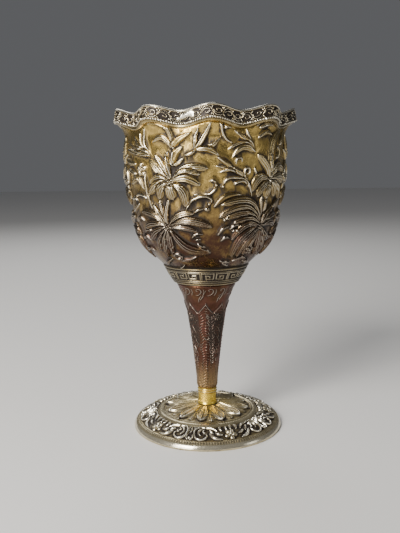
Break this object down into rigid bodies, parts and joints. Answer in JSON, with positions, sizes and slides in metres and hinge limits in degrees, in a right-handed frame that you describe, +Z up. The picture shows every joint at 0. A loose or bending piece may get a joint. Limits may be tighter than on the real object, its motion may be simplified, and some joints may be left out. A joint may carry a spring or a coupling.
{
  "type": "goblet",
  "caption": "Standing metal goblet with a scalloped, flared rim, a bowl covered in flowers in high relief, a key-pattern collar, a hollow trumpet stem and a round spreading foot.",
  "frame": {"origin": "centre of the foot's underside, on the plane it stands on", "axes": "+Z up along the goblet's axis; -Y is the side that the picture shows"},
  "size_m": [0.0962, 0.0959, 0.1737],
  "materials": {
    "bowl": "chased silver-gilt, dark patina in the recesses",
    "key_collar": "silver-gilt with a dark key band",
    "stem": "chased silver-gilt, brownish patina",
    "ferrule": "polished gilt",
    "foot": "worn silver-gilt, bright on the edge"
  },
  "bodies": {
    "root": {"bowl": "bowl", "key_collar": "key_collar", "stem": "stem", "ferrule": "ferrule", "foot": "foot"}
  },
  "joints": []
}
